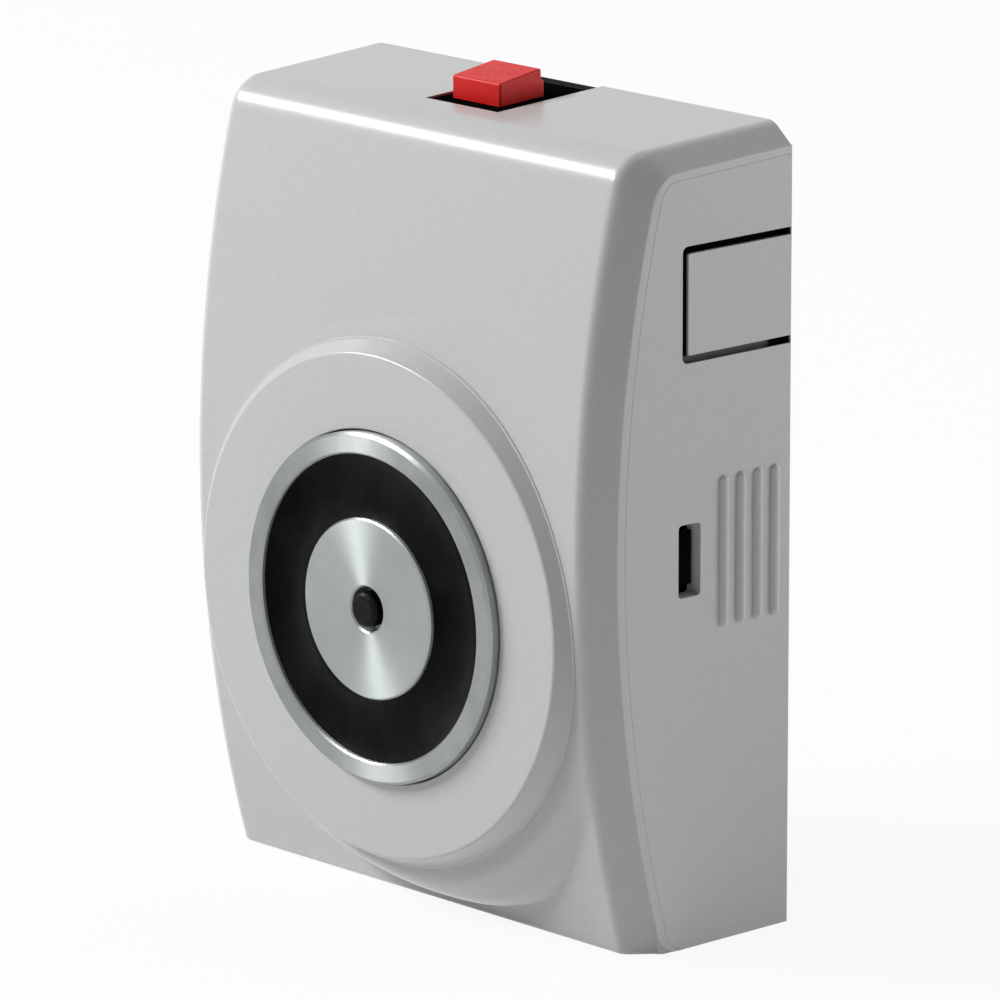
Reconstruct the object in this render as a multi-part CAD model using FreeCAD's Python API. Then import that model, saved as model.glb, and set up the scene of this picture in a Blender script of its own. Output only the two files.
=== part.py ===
"""Electromagnetic door holder: a wall unit whose round magnet holds a door's armature plate.

Millimetres. The origin is where the magnet's axis meets the wall. X is to the right as seen from the
room, Y runs into the wall, so the front is at negative Y, and Z is up. Depths are distances from the
wall towards the room.
"""
import math
import os

import FreeCAD
import Part

V = FreeCAD.Vector

# Cover, outside
COVER_WIDTH = 86.9          # over the raised side panels, at the wall
COVER_TOP = 69.5            # height of the top above the magnet's axis, at the wall
COVER_BOTTOM = -44.2        # height of the flat underside
FRONT_DEPTH = 36.2          # depth at the crown of the arched front
FRONT_RADIUS = 196.0        # radius of the arched front, about a level axis
TOP_FRONT_RADIUS = 6.0      # round between top and front
BOTTOM_EDGE_RADIUS = 1.0    # round between underside and front
SIDE_DRAFT = 2.0            # degrees the sides lean in towards the front
TOP_DRAFT = 2.6             # degrees the top falls towards the front
SIDE_BEVEL = 3.7            # bevel between the sides and the top and front
BEVEL_ROUND = 1.4           # round where the bevel meets the top and front
INNER_BEVEL = 2.2           # bevel inside the shell
COVER_WALL = 2.2

# Side panels of the cover, the same on both sides
PANEL_RAISE = 0.4
PANEL_MARGIN = 0.8          # strip left between the bevel and the panel
PANEL_CORNER = 7.0
PANEL_FOOT = 0.9            # strip left under the panel
KNOCKOUT_DEPTH = 20.3       # how far the knock-out reaches from the wall
KNOCKOUT_BOTTOM = 38.9
KNOCKOUT_TOP = 55.2
GROOVE_WIDTH = 1.1
GROOVE_DEPTH = 1.3
SLOT_BACK = 16.8
SLOT_FRONT = 20.9
SLOT_BOTTOM = 6.1
SLOT_TOP = 16.4
RIB_COUNT = 4
RIB_PITCH = 3.2
RIB_WIDTH = 2.0
RIB_HEIGHT = 0.7
RIB_FIRST = 2.9             # depth of the rib nearest the wall
RIB_BOTTOM = 0.8
RIB_TOP = 22.3

# Boss around the magnet
BOSS_DEPTH = 38.0
BOSS_FACE_RADIUS = 35.9
BOSS_FOOT_RADIUS = 37.4
BOSS_FOOT_DEPTH = 34.5
BOSS_EDGE_ROUND = 0.8
BOSS_LEDGE = 0.35           # narrow ledge between the boss's foot and the skirt
SKIRT_DEPTH = 27.4          # depth at which the flared skirt runs out inside the front
SKIRT_SIDE = 46.5           # half width of the skirt's foot
SKIRT_TOP = 46.0            # top of the skirt's foot
SKIRT_BOTTOM = 43.0         # bottom of the skirt's foot
SKIRT_SQUARENESS = 2.5      # 2 is an ellipse, more is squarer
SKIRT_POINTS = 24
MOUTH_GAP = 0.7             # dark gap between the boss and the magnet

# Magnet
POLE_DEPTH = 39.5
POT_RADIUS = 25.0
POT_WALL = 3.05
POT_LENGTH = 28.0
POT_FLOOR = 4.0
RIM_CHAMFER = 0.45          # front outer edge of the pot
POT_BACK_CHAMFER = 0.5
CORE_RADIUS = 12.9
CORE_EDGE = 0.25
COIL_FIT = 0.1              # clearance of bobbin and resin to the iron
BOBBIN_WALL = 1.2
BOBBIN_RECESS = 4.5         # bobbin's front below the pole face
RESIN_EDGE_RECESS = 0.7     # resin below the pole face at the iron
RESIN_MID_RECESS = 1.9      # resin below the pole face half-way between
LEAD_RADIUS = 0.6
LEAD_SPACING = 5.0
LEAD_HEIGHT = 17.6          # height at which the leads leave the pot
LEAD_BEND = 1.5
LEAD_RUN_DEPTH = 5.4        # depth of the run behind the circuit board
LEAD_HOLE_GAP = 0.4

# Release pin in the core
PIN_RADIUS = 2.5
PIN_FIT = 0.05
PIN_PROUD = 0.8             # stands this far out of the pole face and travels back as far
PIN_TIP_ROUND = 0.7
PIN_MOUTH_RADIUS = 3.2
PIN_MOUTH_DEPTH = 3.0
PIN_GUIDE_LENGTH = 6.4
PIN_COLLAR_RADIUS = 4.1
PIN_COLLAR_LENGTH = 2.0
PIN_CHAMBER_RADIUS = 4.5
PLUG_LENGTH = 6.0
PLUG_HEAD_RADIUS = 7.0
PLUG_HEAD_LENGTH = 2.0
PLUG_SLOT_WIDTH = 1.4
PLUG_FIT = 0.05

# Switch and button in the top
SWITCH_X = -0.9
NOTCH_WIDTH = 14.6
NOTCH_DEPTH = 20.2
NOTCH_GAP = 0.15            # switch to notch, each side
SWITCH_SUNK = 0.25          # black surface below the cover's top
BUTTON_X = -1.5
BUTTON_WIDTH = 9.7
BUTTON_LENGTH = 8.6
BUTTON_DEPTH = 12.55        # depth of the button's centre
BUTTON_PROUD = 2.95         # above the cover's top edge
BUTTON_STEP = 0.55          # step along the button's back edge
BUTTON_STEP_HEIGHT = 1.3
BUTTON_HEIGHT = 8.0
BUTTON_EDGE = 0.35
BUTTON_FIT = 0.25
BUTTON_TRAVEL = 3.0
STEM_RADIUS = 1.8
STEM_TAIL_RADIUS = 1.1      # thinner end that carries the moving contact
STEM_FIT = 0.05
SWITCH_DECK_TOP = 60.0      # floor of the button's well
SWITCH_DECK = 2.0
SWITCH_WALL = 1.2
CONTACT_THICK = 0.6
CONTACT_WIDTH = 3.0
CONTACT_LENGTH = 7.6
CONTACT_GAP = 0.1
FIXED_CONTACT_LENGTH = 2.6
STEM_TAIL = 0.8             # stem below the moving contact
STEM_ROOM = 0.4             # left under the stem at full travel
SWITCH_BASE_THICK = 1.5

# Wall plate
PLATE_THICK = 2.5
PLATE_GAP = 0.6             # plate to cover, all round
PLATE_CORNER = 4.0
PEDESTAL_RADIUS = 23.0
PEDESTAL_BORE = 15.0
LEAD_GATE_WIDTH = 9.0
WALL_SCREW_X = 60.0         # spacing across
WALL_SCREW_Z = 84.0         # spacing up
WALL_SCREW_MID = 11.0       # height of the pattern's middle
WALL_SCREW_RADIUS = 2.3
CABLE_RADIUS = 6.0
CABLE_X = 27.0
CABLE_Z = 36.0
ARM_WIDTH = 7.6
ARM_THICK = 2.0
ARM_GAP = 0.35              # latch arm to the cover's inner side
HOOK_REACH = 1.5            # how far the hook enters the slot
HOOK_GAP = 0.4

# Screws
MAGNET_SCREW_RADIUS = 2.0
MAGNET_SCREW_HEAD = 3.6
MAGNET_SCREW_HEAD_LENGTH = 2.4
MAGNET_SCREW_CIRCLE = 19.0
MAGNET_SCREW_GRIP = 3.0     # length in the pot's floor
SCREW_FIT = 0.05
SCREW_CLEAR = 0.2
SOCKET_RADIUS = 1.3
SOCKET_DEPTH = 1.4

# Circuit board
BOARD_WIDTH = 44.0
BOARD_BOTTOM = 28.0
BOARD_TOP = 47.0
BOARD_DEPTH = 8.0           # depth of its back face
BOARD_THICK = 1.6
BOARD_CORNER = 1.0
POST_RADIUS = 2.8
POST_MARGIN = 4.0           # board edge to the screws' middle
POST_Z = 42.5
BOARD_SCREW_RADIUS = 1.2
BOARD_SCREW_HEAD = 2.2
BOARD_SCREW_HEAD_LENGTH = 1.4
BOARD_SCREW_LENGTH = 5.0
SCREW_SLOT_WIDTH = 0.6
TERMINAL_X = 7.0
TERMINAL_Z = 34.0
TERMINAL_PITCH = 5.0
TERMINAL_WAYS = 2
TERMINAL_HEIGHT = 8.0
TERMINAL_TALL = 10.0
TERMINAL_SCREW_RADIUS = 1.5
TERMINAL_SCREW_SUNK = 1.0
TERMINAL_SLOT_DEPTH = 0.8
TERMINAL_ENTRY = 3.0        # square wire entry
TERMINAL_ENTRY_RISE = 1.5   # entry above the board
DIODE_X = -9.0
DIODE_Z = 34.0
DIODE_RADIUS = 1.3
DIODE_LENGTH = 5.2
DIODE_WIRE = 0.4
DIODE_SPAN = 9.0

# Springs
SPRING_WIRE = 0.35          # wire radius
WIRE_SIDES = 8
TURN_STEPS = 16
PIN_SPRING_RADIUS = 3.2     # mean coil radius
PIN_SPRING_TURNS = 4.5
BUTTON_SPRING_RADIUS = 3.1
BUTTON_SPRING_TURNS = 2.5

HALF_WIDTH = COVER_WIDTH / 2 - PANEL_RAISE
ARC_HEIGHT = (COVER_TOP + COVER_BOTTOM) / 2
ARC_AXIS_Y = FRONT_RADIUS - FRONT_DEPTH
POT_BACK = POLE_DEPTH - POT_LENGTH
FLOOR_DEPTH = POT_BACK + POT_FLOOR
POT_BORE = POT_RADIUS - POT_WALL
BOBBIN_FRONT_DEPTH = POLE_DEPTH - BOBBIN_RECESS
POST_X = BOARD_WIDTH / 2 - POST_MARGIN
CONTACT_TOP = SWITCH_DECK_TOP - SWITCH_DECK - CONTACT_THICK - CONTACT_GAP
STEM_BOTTOM = CONTACT_TOP - CONTACT_THICK - STEM_TAIL
SWITCH_BOTTOM = STEM_BOTTOM - BUTTON_TRAVEL - STEM_ROOM - SWITCH_BASE_THICK
REACH = 60.0                # longer than the holder is deep, for cutting tools


def box(x0, x1, depth0, depth1, z0, z1):
    """Block between two X, two depths from the wall and two heights."""
    return Part.makeBox(x1 - x0, depth1 - depth0, z1 - z0, V(x0, -depth1, z0))


def rod(radius, depth0, depth1, x=0.0, z=0.0):
    """Round bar square to the wall, between two depths."""
    return Part.makeCylinder(radius, depth1 - depth0, V(x, -depth0, z), V(0, -1, 0))


def post(radius, z0, z1, x, depth):
    """Upright round bar."""
    return Part.makeCylinder(radius, z1 - z0, V(x, -depth, z0), V(0, 0, 1))


def turned(outline):
    """Solid of revolution about the magnet's axis from (radius, depth) corners."""
    wire = Part.makePolygon([V(r, -d, 0) for r, d in outline + outline[:1]])
    return Part.Face(wire).revolve(V(0, 0, 0), V(0, 1, 0), 360)


def edges_where(shape, test):
    return [e for e in shape.Edges if test(e)]


def all_points(edge, test):
    """True where the edge's ends and middle all pass the test."""
    first, last = edge.ParameterRange
    return all(test(edge.valueAt(p)) for p in (first, (first + last) / 2, last))


def front_at(z, inset=0.0):
    """Depth of the arched front at a height."""
    radius = FRONT_RADIUS - inset
    return math.sqrt(radius ** 2 - (z - ARC_HEIGHT) ** 2) - ARC_AXIS_Y


def top_at(depth, inset=0.0):
    """Height of the cover's top at a depth."""
    return COVER_TOP - inset - depth * math.tan(math.radians(TOP_DRAFT))


def top_corner(inset):
    """Depth and height where the top would meet the front with no round."""
    depth = FRONT_DEPTH - inset
    for _ in range(30):
        depth = front_at(top_at(depth, inset), inset)
    return depth, top_at(depth, inset)


def side_face(inset, foot, back):
    """Side outline of the cover, moved in, as a face in the plane X = 0."""
    bottom = COVER_BOTTOM + foot
    corner_depth, corner_z = top_corner(inset)
    foot_front = V(0, -front_at(bottom, inset), bottom)
    crown = V(0, -front_at(ARC_HEIGHT, inset), ARC_HEIGHT)
    corner = V(0, -corner_depth, corner_z)
    top_back = V(0, -back, top_at(back, inset))
    foot_back = V(0, -back, bottom)
    return Part.Face(Part.Wire([
        Part.makeLine(foot_back, foot_front),
        Part.Arc(foot_front, crown, corner).toShape(),
        Part.makeLine(corner, top_back),
        Part.makeLine(top_back, foot_back),
    ]))


def side_wedge(half):
    """Block between the two leaning sides, half wide at the wall."""
    lean = math.tan(math.radians(SIDE_DRAFT))
    ends = [(half + lean * 5, 5), (half - lean * REACH, -REACH)]
    corners = [V(-ends[0][0], 5, -REACH), V(ends[0][0], 5, -REACH),
               V(ends[1][0], -REACH, -REACH), V(-ends[1][0], -REACH, -REACH)]
    return Part.Face(Part.makePolygon(corners + corners[:1])).extrude(V(0, 0, 3 * REACH))


def cover_form(inset, bevel, back):
    """The cover's plain form without its boss: arched front, rounded top and bevelled sides."""
    face = side_face(inset, inset, back)
    form = face.extrude(V(2 * REACH, 0, 0)).translated(V(-REACH, 0, 0))
    corner_depth, corner_z = top_corner(inset)
    bottom = COVER_BOTTOM + inset

    def at_corner(p):
        return abs(p.y + corner_depth) < 0.01 and abs(p.z - corner_z) < 0.01

    form = form.makeFillet(TOP_FRONT_RADIUS - inset, edges_where(form, lambda e: all_points(e, at_corner)))
    form = form.common(side_wedge(HALF_WIDTH - inset))

    def on_rim(edge):
        """Edges of the two sides along the top and front, not the back or the underside."""
        middle = edge.valueAt(sum(edge.ParameterRange) / 2)
        at_side = all_points(edge, lambda p: abs(abs(p.x) - side_at(-p.y, inset)) < 0.01)
        return at_side and middle.z > bottom + 0.01 and middle.y < -back - 0.01
    form = form.makeChamfer(bevel, edges_where(form, on_rim))
    return form.Solids[0]


def side_at(depth, inset=0.0):
    """Half width of the plain form at a depth."""
    return HALF_WIDTH - inset - depth * math.tan(math.radians(SIDE_DRAFT))


def soften_bevel(form):
    """Round the edges where the bevel meets the top and the front."""
    def on_crest(edge):
        def test(p):
            return abs(abs(p.x) - (side_at(-p.y) - SIDE_BEVEL)) < 0.35
        middle = edge.valueAt(sum(edge.ParameterRange) / 2)
        return all_points(edge, test) and middle.y < -0.01 and edge.Length > 2
    return form.makeFillet(BEVEL_ROUND, edges_where(form, on_crest))


def soften_foot(form):
    """Round the edge where the front and its bevels meet the underside."""
    def on_foot(edge):
        middle = edge.valueAt(sum(edge.ParameterRange) / 2)
        low = all_points(edge, lambda p: abs(p.z - COVER_BOTTOM) < 0.01)
        return low and -middle.y > front_at(COVER_BOTTOM) - SIDE_BEVEL
    return form.makeFillet(BOTTOM_EDGE_RADIUS, edges_where(form, on_foot))


def skirt_section(share, depth):
    """Closed outline between the boss's round foot (share 0) and the skirt's squarer foot (share 1)."""
    points = []
    rim = BOSS_FOOT_RADIUS + BOSS_LEDGE
    for i in range(SKIRT_POINTS):
        a = 2 * math.pi * i / SKIRT_POINTS
        c, s = math.cos(a), math.sin(a)
        tall = SKIRT_TOP if s > 0 else SKIRT_BOTTOM
        n = SKIRT_SQUARENESS
        foot = (abs(c / SKIRT_SIDE) ** n + abs(s / tall) ** n) ** (-1 / n)
        r = rim + share * (foot - rim)
        points.append(V(r * c, -depth, r * s))
    curve = Part.BSplineCurve()
    curve.interpolate(points, PeriodicFlag=True)
    return Part.Wire(curve.toShape())


def skirt():
    """Flared skirt under the boss: it leaves the boss's foot gently and steepens outwards."""
    drop = BOSS_FOOT_DEPTH - SKIRT_DEPTH
    steps = [math.radians(a) for a in (0, 30, 60, 90)]
    sections = [skirt_section(math.sin(a), SKIRT_DEPTH + drop * math.cos(a)) for a in steps]
    return Part.makeLoft(sections, True)


def bevel_limit():
    """Everything behind the side bevels, carried on forwards past the arched front."""
    lean = math.tan(math.radians(SIDE_DRAFT))
    forward = 2 * (BOSS_DEPTH - front_at(COVER_BOTTOM))
    edge = side_at(FRONT_DEPTH) - SIDE_BEVEL
    corner = side_at(FRONT_DEPTH - SIDE_BEVEL)
    half = [(corner + lean * FRONT_DEPTH, FRONT_RADIUS - SIDE_BEVEL - FRONT_DEPTH),
            (corner, FRONT_RADIUS - SIDE_BEVEL), (edge, FRONT_RADIUS), (edge - forward, FRONT_RADIUS + forward)]
    outline = half + [(-x, r) for x, r in reversed(half)]
    wire = Part.makePolygon([V(x, ARC_AXIS_Y - r, ARC_HEIGHT) for x, r in outline + outline[:1]])
    axis = V(0, ARC_AXIS_Y, ARC_HEIGHT)
    swing = 60
    return Part.Face(wire).rotated(axis, V(1, 0, 0), -swing / 2).revolve(axis, V(1, 0, 0), swing)


def boss():
    """Round boss with a sloped edge, seated on its skirt."""
    round_face = turned([(0, BOSS_FOOT_DEPTH), (BOSS_FOOT_RADIUS, BOSS_FOOT_DEPTH), (BOSS_FACE_RADIUS, BOSS_DEPTH),
                         (0, BOSS_DEPTH)])

    def at_face(p):
        return abs(p.y + BOSS_DEPTH) < 0.01 and abs(math.hypot(p.x, p.z) - BOSS_FACE_RADIUS) < 0.01
    return round_face.makeFillet(BOSS_EDGE_ROUND, edges_where(round_face, lambda e: all_points(e, at_face)))


def side_panel():
    """Raised panel on the right side, with a rounded rim."""
    inset = SIDE_BEVEL + PANEL_MARGIN
    slab = side_face(inset, PANEL_FOOT, 0).extrude(V(REACH, 0, 0))
    corner_depth, corner_z = top_corner(inset)

    def at_corner(p):
        return abs(p.y + corner_depth) < 0.01 and abs(p.z - corner_z) < 0.01
    slab = slab.makeFillet(PANEL_CORNER, edges_where(slab, lambda e: all_points(e, at_corner)))
    slab = slab.common(side_wedge(HALF_WIDTH + PANEL_RAISE))
    slab = slab.cut(Part.makeBox(HALF_WIDTH - COVER_WALL, 2 * REACH, 4 * REACH, V(0, -REACH, -2 * REACH)))

    def on_face(p):
        return abs(p.x - side_at(-p.y) - PANEL_RAISE) < 0.01

    def on_rim(edge):
        middle = edge.valueAt(sum(edge.ParameterRange) / 2)
        return all_points(edge, on_face) and middle.y < -0.01
    return slab.makeFillet(PANEL_RAISE * 0.7, edges_where(slab, on_rim))


def grip_ribs():
    """Half-round grip ribs with rounded ends on the right panel."""
    lean = V(-math.sin(math.radians(SIDE_DRAFT)), -math.cos(math.radians(SIDE_DRAFT)), 0)
    across = V(lean.y * -1, lean.x, 0)
    ribs = []
    for i in range(RIB_COUNT):
        depth = RIB_FIRST + i * RIB_PITCH
        radius = RIB_WIDTH / 2
        sunk = radius - RIB_HEIGHT
        foot = V(side_at(depth) + PANEL_RAISE, -depth, RIB_BOTTOM + radius) - across * sunk
        length = RIB_TOP - RIB_BOTTOM - 2 * radius
        bar = Part.makeCylinder(radius, length, foot, V(0, 0, 1))
        ends = [Part.makeSphere(radius, foot), Part.makeSphere(radius, foot + V(0, 0, length))]
        ribs.append(bar.fuse(ends))
    return ribs


def knockout_groove():
    """Score line round the cable knock-out, open at the wall edge."""
    outer = box(0, REACH, -1, KNOCKOUT_DEPTH, KNOCKOUT_BOTTOM, KNOCKOUT_TOP)
    inner = box(0, REACH, -2, KNOCKOUT_DEPTH - GROOVE_WIDTH, KNOCKOUT_BOTTOM + GROOVE_WIDTH,
                KNOCKOUT_TOP - GROOVE_WIDTH)
    front = edges_where(outer, lambda e: all_points(e, lambda p: abs(p.y + KNOCKOUT_DEPTH) < 0.01))
    outer = outer.makeFillet(GROOVE_WIDTH, [e for e in front if abs(e.Length - REACH) < 0.01])
    return outer.cut([inner, side_wedge(HALF_WIDTH + PANEL_RAISE - GROOVE_DEPTH)])


def mirrored(shape):
    return shape.mirror(V(0, 0, 0), V(1, 0, 0))


def cover():
    outside = soften_foot(soften_bevel(cover_form(0.0, SIDE_BEVEL, 0.0)))
    raised = boss().fuse(skirt()).common(bevel_limit())
    raised = raised.common(box(-REACH, REACH, 0, REACH, COVER_BOTTOM + BOTTOM_EDGE_RADIUS, REACH))
    shell = outside.fuse(raised)
    shell = shell.cut(cover_form(COVER_WALL, INNER_BEVEL, -1.0))
    hollow = rod(BOSS_FACE_RADIUS - COVER_WALL, FRONT_DEPTH / 2, BOSS_DEPTH - COVER_WALL)
    shell = shell.cut(hollow)
    panel = side_panel()
    shell = shell.fuse([panel, mirrored(panel)])
    slot = box(0, REACH, SLOT_BACK, SLOT_FRONT, SLOT_BOTTOM, SLOT_TOP)
    groove = knockout_groove()
    cuts = [slot, mirrored(slot), groove, mirrored(groove)]
    cuts.append(rod(POT_RADIUS + MOUTH_GAP, 0, REACH))
    cuts.append(box(SWITCH_X - NOTCH_WIDTH / 2, SWITCH_X + NOTCH_WIDTH / 2, -1, NOTCH_DEPTH,
                    COVER_TOP - 3 * COVER_WALL, REACH * 2))
    shell = shell.cut(cuts)
    ribs = grip_ribs()
    return shell.fuse(ribs + [mirrored(r) for r in ribs]).removeSplitter()


def magnet_screw_places():
    """X and Z of the screws that hold the magnet, one straight down and two above."""
    angles = [math.radians(-90 + 120 * i) for i in range(3)]
    return [(MAGNET_SCREW_CIRCLE * math.cos(a), MAGNET_SCREW_CIRCLE * math.sin(a)) for a in angles]


def lead_places():
    return [-LEAD_SPACING / 2, LEAD_SPACING / 2]


def wall_screw_places():
    return [(sx * WALL_SCREW_X / 2, WALL_SCREW_MID + sz * WALL_SCREW_Z / 2) for sx in (-1, 1) for sz in (-1, 1)]


def latch_arm():
    """Springy arm on the right of the wall plate, with a hook that enters the cover's slot."""
    z_mid = (SLOT_BOTTOM + SLOT_TOP) / 2
    lean = math.tan(math.radians(SIDE_DRAFT))
    tip = SLOT_FRONT - HOOK_GAP
    outer = [side_at(d, COVER_WALL) - ARM_GAP for d in (0, tip)]
    hook_back = SLOT_BACK + HOOK_GAP
    hook_foot = outer[0] - lean * hook_back
    corners = [(outer[0] - ARM_THICK, 0), (outer[0], 0), (hook_foot, hook_back),
               (hook_foot + HOOK_REACH, hook_back), (outer[1], tip), (outer[1] - ARM_THICK, tip)]
    wire = Part.makePolygon([V(x, -d, z_mid - ARM_WIDTH / 2) for x, d in corners + corners[:1]])
    return Part.Face(wire).extrude(V(0, 0, ARM_WIDTH))


def base_plate():
    half = side_at(0, COVER_WALL) - PLATE_GAP
    foot = COVER_BOTTOM + COVER_WALL + PLATE_GAP
    head = COVER_TOP - COVER_WALL - PLATE_GAP - PLATE_THICK * math.tan(math.radians(TOP_DRAFT))
    plate = box(-half, half, 0, PLATE_THICK, foot, head)
    plate = plate.makeFillet(PLATE_CORNER, [e for e in plate.Edges if abs(e.Length - PLATE_THICK) < 0.01])
    tab_half = NOTCH_WIDTH / 2 - NOTCH_GAP
    tab = box(SWITCH_X - tab_half, SWITCH_X + tab_half, 0, PLATE_THICK, head - 1,
              top_at(PLATE_THICK) - SWITCH_SUNK)
    arm = latch_arm()
    pedestal = rod(PEDESTAL_RADIUS, 0, POT_BACK)
    posts = [rod(POST_RADIUS, 0, BOARD_DEPTH, sx * POST_X, POST_Z) for sx in (-1, 1)]
    plate = plate.fuse([tab, arm, mirrored(arm), pedestal] + posts)
    cuts = [rod(PEDESTAL_BORE, PLATE_THICK, POT_BACK + 1)]
    cuts.append(box(-LEAD_GATE_WIDTH / 2, LEAD_GATE_WIDTH / 2, PLATE_THICK, POT_BACK + 1, 0, PEDESTAL_RADIUS + 1))
    for x, z in magnet_screw_places():
        cuts.append(rod(MAGNET_SCREW_RADIUS + SCREW_CLEAR, -1, POT_BACK + 1, x, z))
        cuts.append(rod(MAGNET_SCREW_HEAD + SCREW_CLEAR, -1, MAGNET_SCREW_HEAD_LENGTH + SCREW_CLEAR, x, z))
    for x, z in wall_screw_places():
        cuts.append(rod(WALL_SCREW_RADIUS, -1, PLATE_THICK + 1, x, z))
    cuts.append(rod(CABLE_RADIUS, -1, PLATE_THICK + 1, CABLE_X, CABLE_Z))
    for sx in (-1, 1):
        hole_end = BOARD_DEPTH + BOARD_THICK - BOARD_SCREW_LENGTH - SCREW_CLEAR
        cuts.append(rod(BOARD_SCREW_RADIUS + SCREW_FIT, hole_end, BOARD_DEPTH + 1, sx * POST_X, POST_Z))
    return plate.cut(cuts).removeSplitter()


def magnet_pot():
    pot = turned([(0, POT_BACK), (POT_RADIUS - POT_BACK_CHAMFER, POT_BACK),
                  (POT_RADIUS, POT_BACK + POT_BACK_CHAMFER),
                  (POT_RADIUS, POLE_DEPTH - RIM_CHAMFER), (POT_RADIUS - RIM_CHAMFER, POLE_DEPTH),
                  (POT_BORE + CORE_EDGE, POLE_DEPTH), (POT_BORE, POLE_DEPTH - CORE_EDGE),
                  (POT_BORE, FLOOR_DEPTH), (0, FLOOR_DEPTH)])
    cuts = [rod(PIN_CHAMBER_RADIUS, 0, REACH)]
    for x, z in magnet_screw_places():
        cuts.append(rod(MAGNET_SCREW_RADIUS + SCREW_FIT, 0, POT_BACK + MAGNET_SCREW_GRIP + SCREW_CLEAR, x, z))
    for x in lead_places():
        cuts.append(rod(LEAD_RADIUS + LEAD_HOLE_GAP, 0, FLOOR_DEPTH + 1, x, LEAD_HEIGHT))
    return pot.cut(cuts)


def magnet_core():
    shoulder = POLE_DEPTH - PIN_MOUTH_DEPTH - PIN_GUIDE_LENGTH
    return turned([(PIN_CHAMBER_RADIUS, FLOOR_DEPTH), (CORE_RADIUS, FLOOR_DEPTH), (CORE_RADIUS, POLE_DEPTH - CORE_EDGE),
                   (CORE_RADIUS - CORE_EDGE, POLE_DEPTH), (PIN_MOUTH_RADIUS + CORE_EDGE, POLE_DEPTH),
                   (PIN_MOUTH_RADIUS, POLE_DEPTH - CORE_EDGE), (PIN_MOUTH_RADIUS, POLE_DEPTH - PIN_MOUTH_DEPTH),
                   (PIN_RADIUS + PIN_FIT, POLE_DEPTH - PIN_MOUTH_DEPTH), (PIN_RADIUS + PIN_FIT, shoulder),
                   (PIN_CHAMBER_RADIUS, shoulder)])


def coil_bobbin():
    inner = CORE_RADIUS + COIL_FIT
    outer = POT_BORE - COIL_FIT
    back = FLOOR_DEPTH
    front = BOBBIN_FRONT_DEPTH
    drum = inner + BOBBIN_WALL
    return turned([(inner, back), (outer, back), (outer, back + BOBBIN_WALL), (drum, back + BOBBIN_WALL),
                   (drum, front - BOBBIN_WALL), (outer, front - BOBBIN_WALL), (outer, front), (inner, front)])


def coil_winding():
    inner = CORE_RADIUS + BOBBIN_WALL + 2 * COIL_FIT
    outer = POT_BORE - COIL_FIT - BOBBIN_WALL
    back = FLOOR_DEPTH + BOBBIN_WALL
    front = BOBBIN_FRONT_DEPTH - BOBBIN_WALL
    return turned([(inner, back), (outer, back), (outer, front), (inner, front)])


def potting_ring():
    """Casting resin over the coil, drawn up the iron on both sides as it set."""
    inner = CORE_RADIUS + COIL_FIT / 2
    outer = POT_BORE - COIL_FIT / 2
    edge = POLE_DEPTH - RESIN_EDGE_RECESS
    middle = POLE_DEPTH - RESIN_MID_RECESS
    back = BOBBIN_FRONT_DEPTH
    start, top, end = V(outer, -edge, 0), V((inner + outer) / 2, -middle, 0), V(inner, -edge, 0)
    face = Part.Face(Part.Wire([
        Part.makeLine(V(inner, -back, 0), V(outer, -back, 0)),
        Part.makeLine(V(outer, -back, 0), start),
        Part.Arc(start, top, end).toShape(),
        Part.makeLine(end, V(inner, -back, 0)),
    ]))
    return face.revolve(V(0, 0, 0), V(0, 1, 0), 360)


def collar_front():
    return POLE_DEPTH - PIN_MOUTH_DEPTH - PIN_GUIDE_LENGTH - PIN_FIT


def release_pin():
    tip = POLE_DEPTH + PIN_PROUD
    front = collar_front()
    pin = turned([(0, front - PIN_COLLAR_LENGTH), (PIN_COLLAR_RADIUS, front - PIN_COLLAR_LENGTH),
                  (PIN_COLLAR_RADIUS, front), (PIN_RADIUS, front), (PIN_RADIUS, tip), (0, tip)])

    def at_tip(p):
        return abs(p.y + tip) < 0.01 and abs(math.hypot(p.x, p.z) - PIN_RADIUS) < 0.01
    return pin.makeFillet(PIN_TIP_ROUND, edges_where(pin, lambda e: all_points(e, at_tip)))


def wire_section(mean, pitch, angle):
    """Eight-sided section of a spring's wire, square to the helix at an angle from its start."""
    outward = V(math.cos(angle), math.sin(angle), 0)
    along = V(-mean * math.sin(angle), mean * math.cos(angle), pitch / (2 * math.pi)).normalize()
    upward = along.cross(outward)
    centre = outward * mean + V(0, 0, pitch * angle / (2 * math.pi))
    corners = []
    for i in range(WIRE_SIDES + 1):
        turn = 2 * math.pi * (i + 0.5) / WIRE_SIDES
        corners.append(centre + outward * (SPRING_WIRE * math.cos(turn)) + upward * (SPRING_WIRE * math.sin(turn)))
    return Part.makePolygon(corners)


def coil_spring(mean, length, turns):
    """Helical spring along Z from the origin, standing on its wire."""
    foot = SPRING_WIRE * math.cos(math.pi / WIRE_SIDES)
    pitch = (length - 2 * foot) / turns
    steps = round(turns * TURN_STEPS)
    sections = [wire_section(mean, pitch, 2 * math.pi * turns * i / steps) for i in range(steps + 1)]
    return Part.makeLoft(sections, True, True).translated(V(0, 0, foot))


def release_spring():
    back = POT_BACK + PLUG_LENGTH
    front = collar_front() - PIN_COLLAR_LENGTH
    spring = coil_spring(PIN_SPRING_RADIUS, front - back, PIN_SPRING_TURNS)
    return spring.rotated(V(0, 0, 0), V(1, 0, 0), 90).translated(V(0, -back, 0))


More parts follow.
